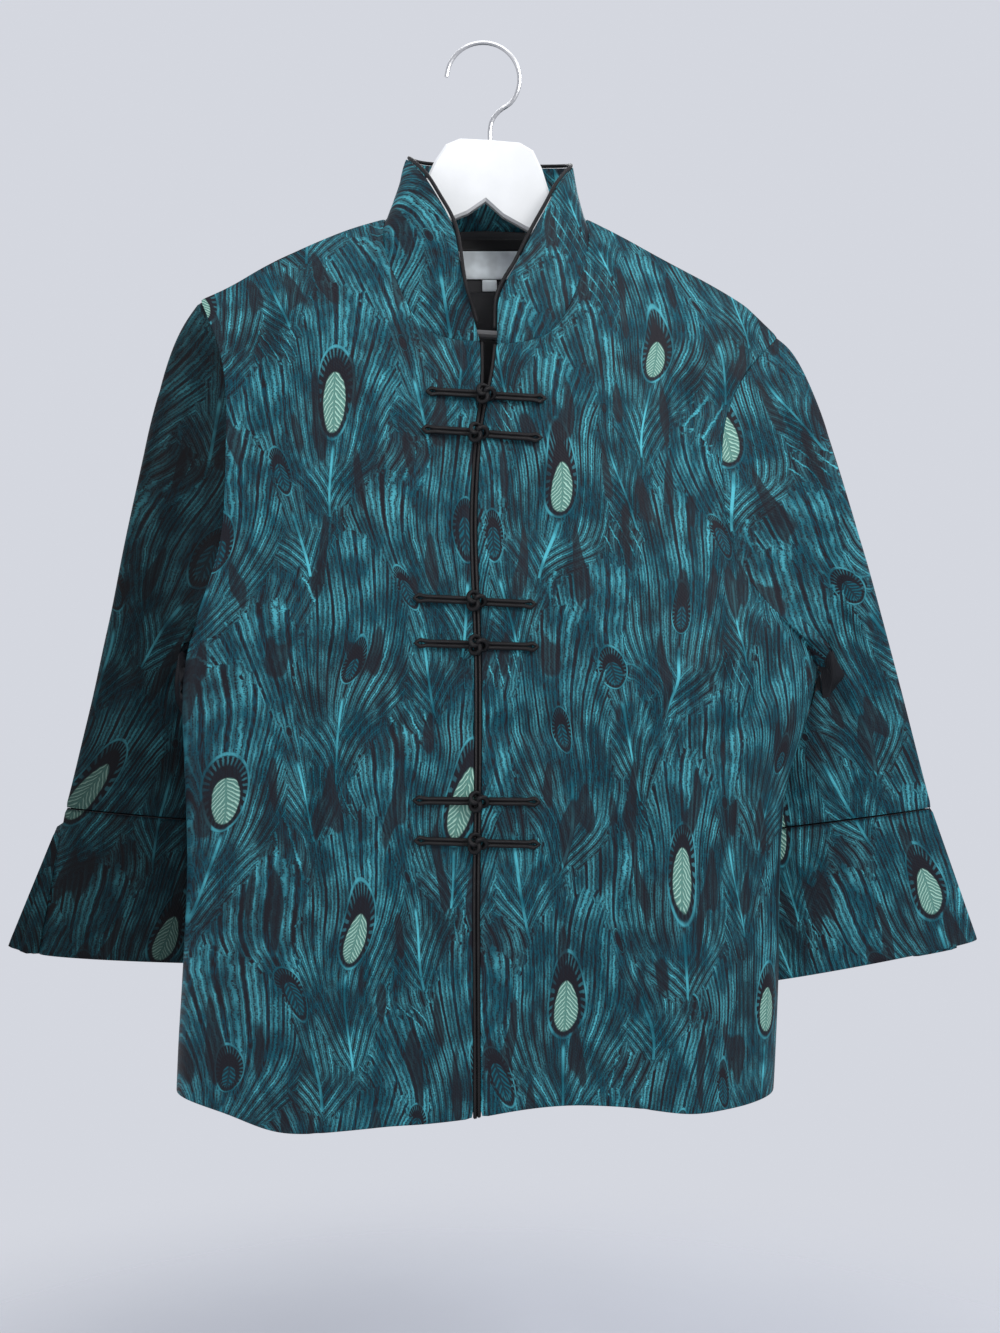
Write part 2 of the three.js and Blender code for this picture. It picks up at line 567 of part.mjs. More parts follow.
const PATCHES = [
  { name: 'neck_facing', left: -54, right: 52, top: -147, bottom: -156.5, proud: 0.9, thick: 1, columns: 10, rows: 2 },
  { name: 'label', left: -38, right: 26, top: -157, bottom: -180, proud: 0.9, thick: 1, columns: 6, rows: 2 },
  { name: 'size_tab', left: -5, right: 7, top: -180.5, bottom: -190, proud: 0.9, thick: 1, columns: 2, rows: 1 },
  { name: 'back_lining', left: -62, right: 60, top: -190.5, bottom: -300, proud: 0.9, thick: 1, columns: 8, rows: 6 },
];

// ---- hanger ----
const HANGER_THICK = 10;
const HANGER_TOP = -77;
// half of the hanger's outline: the top edge from the middle out, then the lower edge back
const HANGER_UPPER = [[0, 0], [24, -0.5], [35, -6], [43, -20], [50, -38], [58, -53], [70, -70], [84, -81],
  [140, -109], [212, -149]];
const HANGER_LOWER = [[214, -155], [207, -163], [140, -138], [92, -115], [60, -90], [42, -73], [31, -68], [14, -60], [0, -49]];

function hangerBody() {
  const right = [...HANGER_UPPER, ...HANGER_LOWER];
  const left = right.slice(1, -1).reverse().map(([x, z]) => [-x, z]);
  const shape = new THREE.Shape([...right, ...left].map(([x, z]) => new THREE.Vector2(x, z)));
  const bevel = 2;
  const geometry = new THREE.ExtrudeGeometry(shape, {
    depth: HANGER_THICK - 2 * bevel, bevelEnabled: true, bevelThickness: bevel, bevelSize: bevel,
    bevelOffset: -bevel, bevelSegments: 1, steps: 1,
  });
  geometry.translate(0, 0, -(HANGER_THICK - 2 * bevel) / 2);
  geometry.rotateX(Math.PI / 2);
  return geometry;
}

function hookPath() {
  const radius = 27.5;
  const wire = 3.5;
  const points = [];
  for (let degrees = 176; degrees >= -40; degrees -= 18) {
    const angle = degrees * Math.PI / 180;
    points.push([(radius + wire / 2) * Math.cos(angle), 0, (radius + wire / 2) * Math.sin(angle) - radius]);
  }
  points.push([13.5, 0, -52.5], [7.5, 0, -60], [5.6, 0, -68], [5.6, 0, HANGER_TOP + GAP]);
  return tube(points, wire, 40, 8);
}

// ---- the scene graph ----
const CLOTH = { color: 0x1d4f60, roughness: 0.5, metalness: 0.1 };
const BLACK = { color: 0x0b0b0e, roughness: 0.4, metalness: 0 };
const WHITE = { color: 0xf0f0ee, roughness: 0.35, metalness: 0 };
const STEEL = { color: 0xb8b9ba, roughness: 0.25, metalness: 1 };

const garment = new THREE.Group();
garment.position.set(GARMENT_X, 0, 0);
const hanger = new THREE.Group();
hanger.position.set(GARMENT_X + 1.6, 0, HANGER_TOP);
hanger.rotation.y = TILT;
const group = new THREE.Group();
group.add(garment, hanger);

function place(parent, name, geometry, look) {
  const mesh = new THREE.Mesh(geometry, new THREE.MeshStandardMaterial(look));
  mesh.name = name;
  parent.add(mesh);
}

place(garment, 'front_left', wall(grids.left, panelInner(grids.left, 'front')), CLOTH);
place(garment, 'front_right', wall(grids.right, panelInner(grids.right, 'front')), CLOTH);
place(garment, 'back', wall(grids.back, panelInner(grids.back, 'back')), CLOTH);

const sleeveLeft = sleeveGrid(SLEEVE_LEFT, armholeLoop(grids.left, grids.backLeft, -1));
const sleeveRight = sleeveGrid(SLEEVE_RIGHT, armholeLoop(grids.right, grids.backRight, 1));
place(garment, 'sleeve_left', ringWall(sleeveLeft, [1, 0, 0]), CLOTH);
place(garment, 'sleeve_right', ringWall(sleeveRight, [1, 0, 0]), CLOTH);
place(garment, 'cuff_left', ringWall(cuffGrid(CUFF_LEFT, sleeveLeft[SLEEVE_RINGS])), CLOTH);
place(garment, 'cuff_right', ringWall(cuffGrid(CUFF_RIGHT, sleeveRight[SLEEVE_RINGS])), CLOTH);
for (const row of CUFF_PLEATS) place(garment, row.name, pleat(row), CLOTH);

const collar = collarGrid();
const collarBack = collarInner(collar);
place(garment, 'collar', wall(collar, collarBack), CLOTH);
place(garment, 'piping_collar', collarPiping(collar, collarBack), BLACK);
place(garment, 'piping_left', edgePiping(-1), BLACK);
place(garment, 'piping_right', edgePiping(1), BLACK);
for (const row of PATCHES) {
  const look = row.name === 'label' || row.name === 'size_tab' ? WHITE : BLACK;
  place(garment, row.name, insidePatch(row), look);
}
FROGS.forEach((frog, k) => {
  place(garment, `frog_${k + 1}_left`, frogArm(frog, -1), BLACK);
  place(garment, `frog_${k + 1}_right`, frogArm(frog, 1), BLACK);
  place(garment, `frog_${k + 1}_knot`, frogKnot(frog), BLACK);
});

place(hanger, 'hanger_body', hangerBody(), WHITE);
place(group, 'hanger_hook', hookPath(), STEEL);
const bar = new THREE.CylinderGeometry(4, 4, 268, 12);
bar.rotateZ(Math.PI / 2);
bar.translate(0, 0, -155);
place(hanger, 'hanger_bar', bar, STEEL);

export default group;
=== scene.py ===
# Looks of the tang jacket on its hanger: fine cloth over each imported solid, metres, in the CAD's frame.
import math

import bmesh
import bpy
import numpy as np
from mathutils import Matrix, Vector
from mathutils.kdtree import KDTree


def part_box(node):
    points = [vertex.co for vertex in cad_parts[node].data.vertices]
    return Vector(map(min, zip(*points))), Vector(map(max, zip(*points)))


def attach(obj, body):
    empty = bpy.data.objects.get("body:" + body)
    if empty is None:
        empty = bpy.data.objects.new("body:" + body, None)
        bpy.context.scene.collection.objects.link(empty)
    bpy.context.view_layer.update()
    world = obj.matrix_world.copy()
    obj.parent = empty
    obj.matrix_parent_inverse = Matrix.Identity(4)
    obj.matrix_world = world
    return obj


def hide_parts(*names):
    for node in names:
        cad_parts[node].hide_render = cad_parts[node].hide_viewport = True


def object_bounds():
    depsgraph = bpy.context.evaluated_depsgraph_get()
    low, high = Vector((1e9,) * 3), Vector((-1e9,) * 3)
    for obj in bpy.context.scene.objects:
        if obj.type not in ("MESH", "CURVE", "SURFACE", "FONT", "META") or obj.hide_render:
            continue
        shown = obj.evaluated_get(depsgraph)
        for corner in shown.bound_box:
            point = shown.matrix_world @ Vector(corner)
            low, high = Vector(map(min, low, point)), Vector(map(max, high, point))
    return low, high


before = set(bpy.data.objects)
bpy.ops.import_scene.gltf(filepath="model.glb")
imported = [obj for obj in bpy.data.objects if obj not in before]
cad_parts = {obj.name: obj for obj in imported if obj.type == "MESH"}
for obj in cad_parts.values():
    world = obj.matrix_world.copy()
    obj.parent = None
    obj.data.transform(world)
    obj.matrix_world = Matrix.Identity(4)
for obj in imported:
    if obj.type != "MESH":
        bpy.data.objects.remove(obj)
cad_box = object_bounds()
MM = 0.001

# ---- camera: the photograph's level view, 1.25 m in front ----
VIEW_HEIGHT = 1.0664
CAMERA_DISTANCE = 1.25
SENSOR = 36.0
camera_data = bpy.data.cameras.new("camera")
camera_data.sensor_width = SENSOR
camera_data.lens = SENSOR * CAMERA_DISTANCE / VIEW_HEIGHT
camera = bpy.data.objects.new("camera", camera_data)
camera.location = (0.0136, -CAMERA_DISTANCE, -0.4972)
camera.rotation_euler = (math.pi / 2, 0, 0)
bpy.context.scene.collection.objects.link(camera)
bpy.context.scene.camera = camera


# ---- node helpers ----
class Field:
    """A shader value that can be added, multiplied and so on, as in ordinary sums."""

    def __init__(self, tree, socket):
        self.tree = tree
        self.socket = socket

    def op(self, kind, *others, clamp=False):
        node = self.tree.nodes.new("ShaderNodeMath")
        node.operation = kind
        node.use_clamp = clamp
        for index, value in enumerate((self, *others)):
            if isinstance(value, Field):
                self.tree.links.new(value.socket, node.inputs[index])
            else:
                node.inputs[index].default_value = value
        return Field(self.tree, node.outputs[0])

    def __add__(self, other):
        return self.op("ADD", other)

    def __sub__(self, other):
        return self.op("SUBTRACT", other)

    def __mul__(self, other):
        return self.op("MULTIPLY", other)

    def __truediv__(self, other):
        return self.op("DIVIDE", other)

    def rest(self):
        """what is left of one"""
        return self * -1.0 + 1.0

    def step(self, low, high):
        """0 below low and 1 above high, or the other way round, with soft ends"""
        node = self.tree.nodes.new("ShaderNodeMapRange")
        node.interpolation_type = "SMOOTHSTEP"
        self.tree.links.new(self.socket, node.inputs["Value"])
        turned = low > high
        node.inputs["From Min"].default_value = min(low, high)
        node.inputs["From Max"].default_value = max(low, high)
        node.inputs["To Min"].default_value = 1.0 if turned else 0.0
        node.inputs["To Max"].default_value = 0.0 if turned else 1.0
        return Field(self.tree, node.outputs["Result"])

    def lines(self, thin):
        """a stripe at each whole number, thin being the share of the spacing that it fills"""
        apart = (self.op("FRACT") - 0.5).op("ABSOLUTE")
        return apart.step(thin / 2 + 0.09, thin / 2 - 0.09)


def noise(tree, vector, scale, detail=2.0):
    node = tree.nodes.new("ShaderNodeTexNoise")
    node.inputs["Scale"].default_value = scale
    node.inputs["Detail"].default_value = detail
    tree.links.new(vector, node.inputs["Vector"])
    return Field(tree, node.outputs["Fac"])


def mix_colour(tree, share, first, second):
    node = tree.nodes.new("ShaderNodeMix")
    node.data_type = "RGBA"
    tree.links.new(share.socket, node.inputs[0])
    for socket, colour in ((node.inputs[6], first), (node.inputs[7], second)):
        if isinstance(colour, tuple):
            socket.default_value = (*colour, 1.0)
        else:
            tree.links.new(colour, socket)
    return node.outputs[2]


def material(name, roughness):
    made = bpy.data.materials.new(name)
    made.use_nodes = True
    shader = made.node_tree.nodes["Principled BSDF"]
    shader.inputs["Roughness"].default_value = roughness
    return made, made.node_tree, shader


def add_bump(tree, shader, height, distance, strength=1.0):
    bump = tree.nodes.new("ShaderNodeBump")
    bump.inputs["Distance"].default_value = distance
    bump.inputs["Strength"].default_value = strength
    tree.links.new(height.socket, bump.inputs["Height"])
    tree.links.new(bump.outputs["Normal"], shader.inputs["Normal"])


# ---- materials ----
# The brocade's design, in millimetres of flat cloth: feathers in a half drop, in two layers.
COLUMN = 91.0           # from one column of feathers to the next
DROP = 204.0            # from one feather down to the next
EYE_WIDE = 9.0          # half the width of a pale eye
EYE_TALL = 21.0         # half its height
SMALL_EYE = 0.42        # how much smaller every other eye is
CAP_RISE = 0.42         # the dark cap's middle above the eye's, in half heights
VEIN_SPACING = 3.6      # ribs of a pale eye
FAN_BELOW = 96.0        # the barbs fan out from this far below the eye
FAN_CURL = 0.009        # how much they bend outwards, for each millimetre aside
BARB_SPACING = 4.3      # barbs, where the fan passes the eye
FEATHER_HALF = 41.0     # half a feather's width
FEATHER_TALL = 96.0     # half its height
WANDER = 44.0           # how far the whole design drifts from its grid

# Layers of feathers, lowest first: shifts along u and v, lean, scale, and whether eyes alternate.
LAYERS = ((COLUMN * 0.5, DROP * 0.25, 0.16, 0.60, 0.0), (0.0, 0.0, -0.10, 1.0, 1.0))

PLUM = (0.0125, 0.0120, 0.0165)     # the ground
SLATE = (0.0045, 0.050, 0.076)      # its fine hatching
TEAL = (0.006, 0.122, 0.166)        # dim barbs
PAINTED_GLINT = (0.085, 0.44, 0.52)         # painted glint: the sheen on bright barbs, painted as their colour
MINT = (0.34, 0.56, 0.47)           # ribs of the pale eyes
MOSS = (0.11, 0.26, 0.22)           # between those ribs


class Design:
    """the brocade's design, as fields of one material's nodes"""

    def __init__(self, tree):
        self.tree = tree
        attribute = tree.nodes.new("ShaderNodeAttribute")
        attribute.attribute_name = "cloth"
        self.flat = attribute.outputs["Vector"]
        split = tree.nodes.new("ShaderNodeSeparateXYZ")
        tree.links.new(self.flat, split.inputs[0])
        self.raw_u = Field(tree, split.outputs[0])
        self.raw_v = Field(tree, split.outputs[1])
        self.wave = noise(tree, self.flat, 0.009, 0.0) - 0.5
        self.wave_2 = noise(tree, self.flat, 0.013, 0.0) - 0.5
        self.ragged = noise(tree, self.flat, 0.16, 1.0) - 0.5
        self.uneven = (noise(tree, self.flat, 0.11, 2.0) - 0.5) * 0.42
        self.rough = (noise(tree, self.flat, 0.75, 1.0) - 0.5) * 0.26
        self.u = self.raw_u + self.wave * WANDER
        self.v = self.raw_v + self.wave_2 * WANDER

    def stretched(self, across, along, scale, detail=0.0):
        """noise drawn out along the cloth's grain"""
        node = self.tree.nodes.new("ShaderNodeVectorMath")
        node.operation = "MULTIPLY"
        node.inputs[1].default_value = (across, along, 1.0)
        self.tree.links.new(self.flat, node.inputs[0])
        return noise(self.tree, node.outputs[0], scale, detail)

    def strands(self, phase, thin):
        """thread lines of uneven width, one in each whole number of the phase"""
        apart = ((phase + self.uneven).op("FRACT") - 0.5).op("ABSOLUTE") + self.rough
        return apart.step(thin / 2 + 0.07, thin / 2 - 0.05)

    def barbs(self, phase):
        """bright barbs, each of its own brightness, with dimmer and finer ones between"""
        half = phase * 0.5
        chance = self.tree.nodes.new("ShaderNodeTexWhiteNoise")
        chance.noise_dimensions = "1D"
        self.tree.links.new((half + self.uneven).op("FLOOR").socket, chance.inputs["W"])
        own = Field(self.tree, chance.outputs["Value"]) * 0.6 + 0.4
        main = self.strands(half, 0.17) * own
        second = self.strands(phase, 0.20) * 0.42
        third = self.strands(phase * 2.0, 0.28) * 0.20
        return main.op("MAXIMUM", second).op("MAXIMUM", third)

    def fan(self, across, along):
        """a feather's barbs: a fan round the eye, straight ones low on the stem, and the stem"""
        aside = across.op("ABSOLUTE")
        base = along + FAN_BELOW + 8.0
        angle = across.op("ARCTAN2", base) * (aside * FAN_CURL + 1.0)
        turn = angle * (FAN_BELOW / BARB_SPACING)
        radius = (across * across + base * base).op("SQRT")
        outer = self.strands(turn * 1.5, 0.2) * radius.step(104.0, 122.0) * 0.8
        high = self.barbs(turn).op("MAXIMUM", outer)
        barb = (along - aside * 2.1 + (across * across) * 0.018) / (BARB_SPACING * 1.8)
        low = along.step(-34.0, -62.0)
        threads = high * low.rest() + self.barbs(barb * 1.4) * low
        stem = aside.step(1.4, 0.7) * along.step(-26.0, -34.0)
        return threads.op("MAXIMUM", stem)

    def feather(self, shift_u, shift_v, lean, size, odd):
        """one layer of feathers: its cover, threads, ribs, large and small eyes, and caps"""
        column = ((self.u + shift_u) / COLUMN).op("FLOOR")
        across = (self.u + shift_u) - (column + 0.5) * COLUMN
        raised = (column * 0.5).op("FRACT") * DROP
        row = ((self.v + shift_v + raised) / DROP).op("FLOOR")
        along = (self.v + shift_v + raised) - (row + 0.5) * DROP
        kind = ((row + column * odd) * 0.5).op("FRACT") * 2.0      # 0 has a large eye, 1 a small one
        across = across + along * lean
        aside = across.op("ABSOLUTE")
        scale = kind * -SMALL_EYE + size
        wide = (across / scale) / EYE_WIDE
        tall = (along / scale) / EYE_TALL
        eye = (wide * wide + tall * tall).op("SQRT") + self.ragged * 0.10
        high = tall - CAP_RISE
        cap = (wide * wide * 0.50 + high * high * 0.46).op("SQRT")
        capped = cap.step(1.04, 0.98)
        outline = cap.step(1.14, 1.09) * cap.step(0.99, 1.04)
        ticks = self.strands(wide.op("ARCTAN2", high) * 4.6, 0.4) * cap.step(0.68, 0.80) * 0.34
        threads = self.fan(across, along) * capped.rest() + capped * ticks
        threads = threads.op("MAXIMUM", outline * 0.7)
        ring = eye.step(1.18, 1.08) * eye.step(0.80, 0.90)
        threads = threads * (ring * -0.9 + 1.0)
        reach_u = across / FEATHER_HALF
        reach_v = (along - 4.0) / FEATHER_TALL
        cover = ((reach_u * reach_u + reach_v * reach_v) + self.ragged * 0.8).step(0.98, 0.90)
        vein = ((along + aside * 1.2) / VEIN_SPACING + self.ragged * 1.1).lines(0.42)
        vein = vein * aside.step(0.3, 0.9)
        big = eye.step(0.96, 0.86) * kind.step(0.6, 0.4)
        small = eye.step(0.78, 0.66) * kind.step(0.4, 0.6)
        return cover, threads, vein, big, small, capped

    def ground(self):
        """long barbs that flow past each other, with crossing ones in patches"""
        bend = (self.v / 46.0).op("SINE") * 10.0
        flow = self.barbs((self.u + bend + self.wave_2 * 60.0) / BARB_SPACING)
        slant = self.u * 0.86 + self.v * 0.34 + self.wave * 90.0
        crossing = self.strands(slant / (BARB_SPACING * 2.1), 0.12)
        patch = noise(self.tree, self.flat, 0.015, 0.0).step(0.47, 0.53)
        return (flow * (patch * -0.5 + 1.0)).op("MAXIMUM", crossing * patch)


def brocade(name, painted_light_factor):
    """peacock feathers on dark satin: eyes under dark caps, and barbs that fan up round them"""
    made, tree, shader = material(name, 0.5)
    design = Design(tree)
    threads = design.ground()
    vein, pale, dim, caps = (threads * 0.0 for _ in range(4))
    for layer in LAYERS:
        cover, own, own_vein, big, small, capped = design.feather(*layer)
        rest = cover.rest()
        threads = threads * rest + own * cover
        vein = vein * rest + own_vein * cover
        caps = caps * rest + capped * cover
        top = layer is LAYERS[-1]
        dim = dim * rest + (small if top else big)
        pale = pale * rest + big if top else pale * rest
    # leaf-shaped voids between the barbs, and painted glints that come and go along the threads
    void = design.stretched(3.6, 0.8, 0.021).step(0.35, 0.31)
    threads = threads * (void * pale.op("MAXIMUM", dim).rest() * -0.85 + 1.0)
    glint_share = design.stretched(1.0, 0.45, 0.065, 2.0).step(0.36, 0.66)
    # fine slate hatching over the ground, in wide uneven areas
    hatch = design.stretched(1.0, 0.10, 1.15, 1.0).step(0.44, 0.60)
    area = noise(tree, design.flat, 0.022, 1.0).step(0.34, 0.58)
    slate_share = hatch * area * (void * -0.8 + 1.0) * (caps * -0.85 + 1.0)
    # every colour is scaled by the painted light factor: 1 for the lit brocade, less for the copy with
    # painted shade
    plum, slate, teal, painted_glint, mint, moss = (
        tuple(c * painted_light_factor for c in colour) for colour in (PLUM, SLATE, TEAL, PAINTED_GLINT, MINT, MOSS))
    colour = mix_colour(tree, slate_share * 0.85, plum, slate)
    # painted highlight: threads take the glint colour, and cover more, where the glint share is high
    thread_colour = mix_colour(tree, glint_share, teal, painted_glint)
    colour = mix_colour(tree, threads * (glint_share * 0.35 + 0.65), colour, thread_colour)
    colour = mix_colour(tree, dim * (vein * 0.55 + 0.15), colour, teal)
    colour = mix_colour(tree, pale * 0.92, colour, moss)
    colour = mix_colour(tree, pale * vein, colour, mint)
    tree.links.new(colour, shader.inputs["Base Color"])
    weave = ((design.raw_u + design.raw_v) / 0.45).op("SINE")
    height = threads + pale * vein * 0.9 + hatch * 0.12 + weave * 0.04
    add_bump(tree, shader, height, 0.0008, 0.9)
    shader.inputs["Specular IOR Level"].default_value = 0.10
    return made


def plain_cloth(name, colour, roughness):
    """satin or tape: a fine twill with slight unevenness"""
    made, tree, shader = material(name, roughness)
    coords = tree.nodes.new("ShaderNodeTexCoord")
    twill = tree.nodes.new("ShaderNodeTexWave")
    twill.inputs["Scale"].default_value = 900.0
    twill.bands_direction = "DIAGONAL"
    tree.links.new(coords.outputs["Object"], twill.inputs["Vector"])
    mottled = noise(tree, coords.outputs["Object"], 60.0)
    lighter = tuple(c * 1.6 for c in colour)
    mixed = mix_colour(tree, mottled.step(0.3, 0.8), colour, lighter)
    tree.links.new(mixed, shader.inputs["Base Color"])
    add_bump(tree, shader, Field(tree, twill.outputs["Fac"]), 0.0002, 0.5)
    shader.inputs["Specular IOR Level"].default_value = 0.22
    return made


def hard(name, colour, roughness, metallic=0.0):
    """lacquer or metal, with faint unevenness in its colour and polish"""
    made, tree, shader = material(name, roughness)
    coords = tree.nodes.new("ShaderNodeTexCoord")
    spots = noise(tree, coords.outputs["Object"], 18.0, 5.0)
    worn = tuple(c * 0.88 for c in colour)
    tree.links.new(mix_colour(tree, spots.step(0.3, 0.75), worn, colour), shader.inputs["Base Color"])
    rough = spots * 0.16 + (roughness - 0.08)
    tree.links.new(rough.socket, shader.inputs["Roughness"])
    shader.inputs["Metallic"].default_value = metallic
    add_bump(tree, shader, spots, 0.0003, 0.3)
    return made


BROCADE = brocade("brocade", 1.0)
# a darker copy of the brocade: painted shade for the left sleeve, its cuff and pleats, which hang in
# shadow
BROCADE_PAINTED_SHADE = brocade("brocade_painted_shade", 0.25)
LINING = plain_cloth("lining", (0.009, 0.009, 0.011), 0.38)
SATIN = plain_cloth("black_satin", (0.0055, 0.005, 0.0055), 0.36)
TAPE = plain_cloth("label_tape", (0.56, 0.60, 0.62), 0.7)
WOOD = hard("white_lacquer", (0.84, 0.85, 0.85), 0.38)
# the trouser bar: grey metal, darkened further as painted shade from the jacket hanging round it
BAR_PAINTED_SHADE = hard("grey_bar_painted_shade", (0.20, 0.20, 0.21), 0.5)
STEEL = hard("steel_wire", (0.58, 0.58, 0.59), 0.26, 1.0)


# ---- cloth pieces ----
def smooth_copy(node, levels, name):
    """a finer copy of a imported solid, its rims kept crisp"""
    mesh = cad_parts[node].data.copy()
    piece = bpy.data.objects.new(name, mesh)
    bpy.context.scene.collection.objects.link(piece)
    shape = bmesh.new()
    shape.from_mesh(mesh)
    bmesh.ops.remove_doubles(shape, verts=shape.verts, dist=2e-5)
    limit = math.radians(60)
    bmesh.ops.join_triangles(shape, faces=shape.faces, angle_face_threshold=limit,
                             angle_shape_threshold=limit)
    crease = shape.edges.layers.float.new("crease_edge")
    for edge in shape.edges:
        if len(edge.link_faces) == 2 and edge.calc_face_angle(0) > math.radians(50):
            edge[crease] = 0.8
    shape.to_mesh(mesh)
    shape.free()
    modifier = piece.modifiers.new("fine", "SUBSURF")
    modifier.levels = levels
    modifier.render_levels = levels
    applied = bpy.data.meshes.new_from_object(piece.evaluated_get(bpy.context.evaluated_depsgraph_get()))
    piece.modifiers.clear()
    piece.data = applied
    for polygon in applied.polygons:
        polygon.use_smooth = True
    applied.materials.clear()
    return piece


def coordinates(piece):
    """a piece's points as rows of x, y, z"""
    points = np.empty(len(piece.data.vertices) * 3)
    piece.data.vertices.foreach_get("co", points)
    return points.reshape(-1, 3)


# creases, in metres: a place on the front (x, z), the way they run in degrees from upright,
# half length, half width, and depth (below zero is a trough)
BODY_CREASES = [
    (-0.124, -0.615, -2, 0.110, 0.006, -0.0022), (-0.104, -0.590, 3, 0.070, 0.006, -0.0016),
    (0.121, -0.610, 2, 0.115, 0.006, -0.0022), (0.100, -0.640, -3, 0.060, 0.006, -0.0014),
    (-0.210, -0.495, -32, 0.060, 0.009, -0.0035), (-0.190, -0.530, -40, 0.045, 0.010, 0.0022),
    (0.225, -0.500, 34, 0.065, 0.009, -0.0035), (0.190, -0.545, 46, 0.060, 0.010, -0.0026),
    (0.165, -0.500, 62, 0.055, 0.009, 0.0020), (-0.178, -0.300, 10, 0.080, 0.012, -0.0028),
    (0.160, -0.320, -12, 0.075, 0.012, -0.0028), (-0.120, -0.475, -8, 0.030, 0.005, -0.0024),
    (-0.062, -0.760, 4, 0.080, 0.018, -0.0026), (0.066, -0.740, -3, 0.085, 0.020, -0.0026),
    (-0.030, -0.370, 6, 0.090, 0.012, -0.0018), (0.040, -0.395, -8, 0.080, 0.014, -0.0018),
    (-0.215, -0.720, 4, 0.070, 0.012, -0.0030), (0.206, -0.735, -3, 0.075, 0.012, -0.0030),
    (-0.127, -0.700, -1, 0.160, 0.0026, -0.0012), (0.125, -0.700, 1, 0.160, 0.0026, -0.0012),
    (0.020, -0.545, -86, 0.050, 0.008, -0.0014), (-0.060, -0.545, 84, 0.045, 0.008, -0.0013),
]
SLEEVE_CREASES = [
    (-0.262, -0.330, 16, 0.070, 0.009, -0.0030), (-0.262, -0.440, 22, 0.080, 0.010, -0.0028),
    (-0.285, -0.520, 14, 0.060, 0.009, 0.0024), (-0.245, -0.505, 40, 0.050, 0.008, -0.0030),
    (0.255, -0.340, -18, 0.070, 0.009, -0.0030), (0.282, -0.440, -22, 0.080, 0.010, -0.0028),
    (0.300, -0.520, -16, 0.060, 0.009, 0.0024), (0.262, -0.500, -42, 0.050, 0.008, -0.0030),
]


SIDE_TURN = 0.19                # past this x the body turns towards its side seams
CREASE_STRENGTH = 2.1
SIDE_CREASE_STRENGTH = 1.1      # shallower there, where front and back are close together


def crease(piece, table, facing):
    """moves points forwards or back; the wall's two sides move together"""
    points = coordinates(piece)
    shift = np.zeros(len(points))
    x, z = points[:, 0], points[:, 2]
    for place_x, place_z, degrees, long, wide, depth in table:
        angle = math.radians(degrees)
        along = (z - place_z) * math.cos(angle) + (x - place_x) * math.sin(angle)
        across = (x - place_x) * math.cos(angle) - (z - place_z) * math.sin(angle)
        strength = CREASE_STRENGTH if abs(place_x) < SIDE_TURN else SIDE_CREASE_STRENGTH
        shift += strength * depth * np.exp(-(across / wide) ** 2 - (along / long) ** 2)
    shift += 0.0007 * np.sin(x * 61 + z * 23) * np.sin(z * 47 - x * 17)
    points[:, 1] += facing * shift
    piece.data.vertices.foreach_set("co", points.ravel())
    piece.data.update()


def lay_pattern(piece, across, along, offset=(0.0, 0.0)):
    """flat cloth coordinates in millimetres, which the brocade reads"""
    points = coordinates(piece) / MM
    flat = np.zeros_like(points)
    flat[:, 0] = points @ np.array(across) + offset[0]
    flat[:, 1] = points @ np.array(along) + offset[1]
    layer = piece.data.attributes.new("cloth", "FLOAT_VECTOR", "POINT")
    layer.data.foreach_set("vector", flat.ravel())


def line_inside(piece, outer, outward):
    """gives the lining to the faces that look inwards, and the outer cloth to the rest"""
    piece.data.materials.append(outer)
    piece.data.materials.append(LINING)
    for polygon in piece.data.polygons:
        outside = polygon.normal.dot(outward(polygon.center)) > -0.2
        polygon.material_index = 0 if outside else 1


def panel_outward(facing):
    """outwards from a panel of the body: ahead or behind, and sideways near the side seams"""
    def outward(place):
        if abs(place.x) > SIDE_TURN:
            return Vector((place.x * 1.2, facing * 0.6, 0)).normalized()
        return Vector((0, facing, 0))
    return outward


def tube_outward(node):
    """outwards from the middle line of a sleeve or cuff"""
    points = np.array([tuple(vertex.co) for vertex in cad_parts[node].data.vertices])

    def outward(place):
        near = points[np.abs(points[:, 2] - place.z) < 0.03]
        middle = near.mean(axis=0)
        return Vector((place.x - middle[0], (place.y - middle[1]) * 4, 0)).normalized()
    return outward


def fatten(piece, amount):
    """grows a cord along its normals, so that cords laid side by side touch"""
    mesh = piece.data
    points = coordinates(piece)
    normals = np.empty(len(points) * 3)
    mesh.vertices.foreach_get("normal", normals)
    points += normals.reshape(-1, 3) * amount
    mesh.vertices.foreach_set("co", points.ravel())
    mesh.update()


def close_seam(piece, others, reach):
    """draws a piece's edge up to the edges that it is sewn to, where they are within reach"""
    tree = KDTree(sum(len(other.data.vertices) for other in others))
    count = 0
    for other in others:
        for vertex in other.data.vertices:
            tree.insert(vertex.co, count)
            count += 1
    tree.balance()
    for vertex in piece.data.vertices:
        place, _, distance = tree.find(vertex.co)
        if distance < reach:
            vertex.co += (place - vertex.co) * 0.9
    piece.data.update()


def groove(piece, other, reach, depth):
    """sinks both sides of a seam a little, as stitching draws it in"""
    for sunk, near in ((piece, other), (other, piece)):
        tree = KDTree(len(near.data.vertices))
        for vertex in near.data.vertices:
            tree.insert(vertex.co, vertex.index)
        tree.balance()
        moves = []
        for vertex in sunk.data.vertices:
            distance = tree.find(vertex.co)[2]
            if distance < reach:
                moves.append((vertex.index, vertex.normal * (-depth * (1 - distance / reach))))
        for index, move in moves:
            sunk.data.vertices[index].co += move
        sunk.data.update()


def stand_for(piece, node):
    """the piece takes its solid's place: it is attached to the root, and the solid is hidden"""
    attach(piece, "root")
    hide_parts(node)


